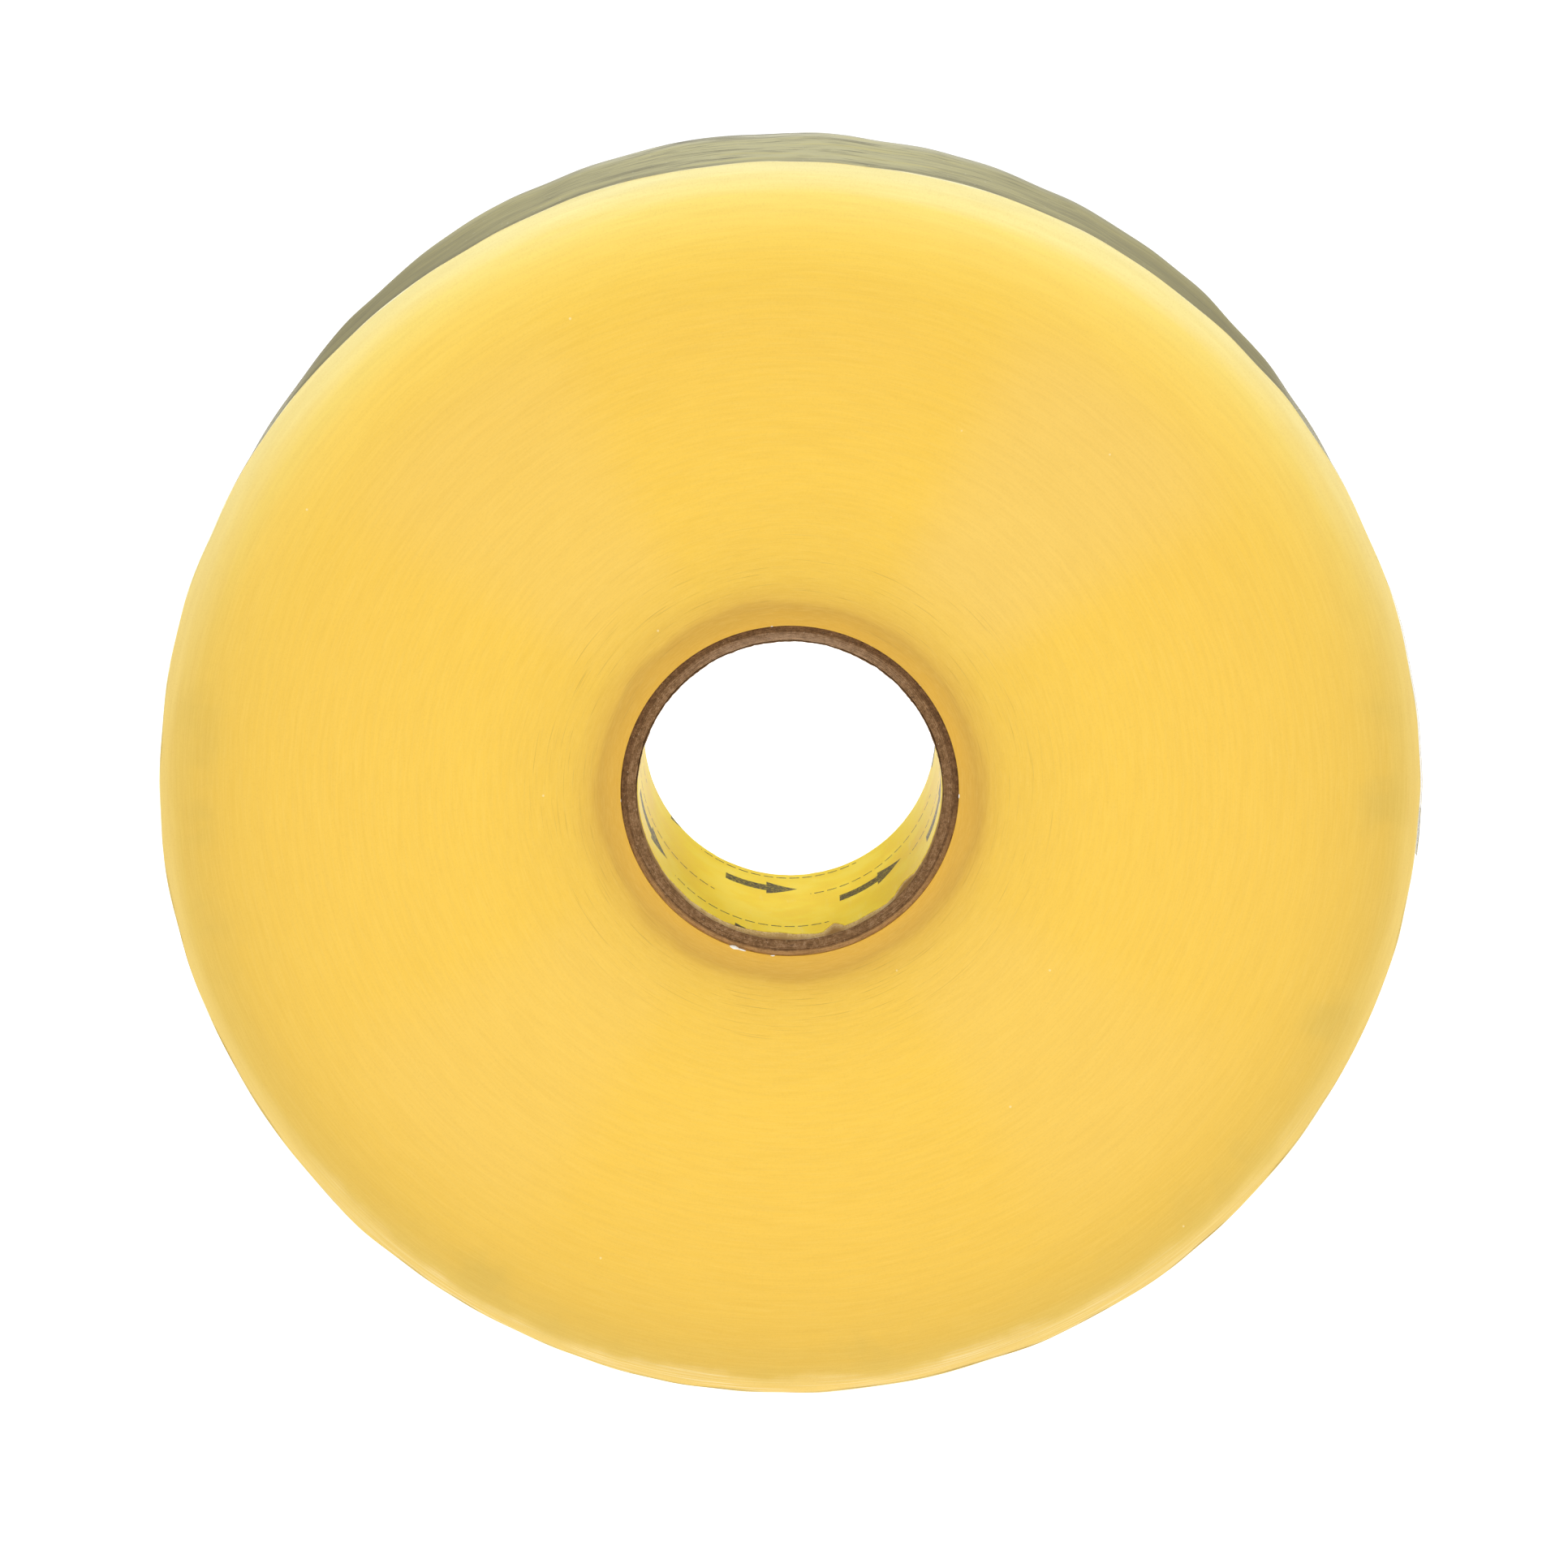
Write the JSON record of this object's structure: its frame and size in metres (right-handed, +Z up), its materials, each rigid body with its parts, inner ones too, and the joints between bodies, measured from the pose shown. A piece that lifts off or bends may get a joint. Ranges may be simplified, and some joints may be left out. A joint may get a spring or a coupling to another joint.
{
  "type": "packing tape roll",
  "caption": "Wide machine-length roll of clear box-sealing tape wound on a paperboard core, with a free end that lifts off the rim.",
  "frame": {"origin": "centre of the core's bore, half way between the two faces of the roll", "axes": "the roll stands on its rim: +Z up, +Y along the bore towards the back face, +X to the right seen from the front face, which is the one at -Y"},
  "size_m": [0.3151, 0.072, 0.3148],
  "materials": {
    "liner_paper": "satin printed paper",
    "core_board": "matt recycled chipboard",
    "outer_kraft": "matt kraft paper",
    "tape_edges": "satin, fine concentric lines",
    "clear_film": "glossy clear film"
  },
  "bodies": {
    "roll": {"core_liner": "liner_paper", "core_ply_1": "core_board", "core_ply_2": "core_board", "core_ply_3": "core_board", "core_ply_4": "core_board", "core_ply_5": "core_board", "core_ply_6": "core_board", "core_ply_7": "core_board", "core_ply_8": "core_board", "core_outer_ply": "outer_kraft", "tape_pack": "tape_edges", "outer_turns": "clear_film"},
    "tail": {"tape_tail": "clear_film", "grip_fold": "clear_film"}
  },
  "joints": [
    {"name": "tail_lift", "type": "hinge", "parent": "roll", "child": "tail", "pos_m": [0.1499, 0, 0.0487], "axis": [0, -1, 0], "range_deg": [0, 120]}
  ]
}
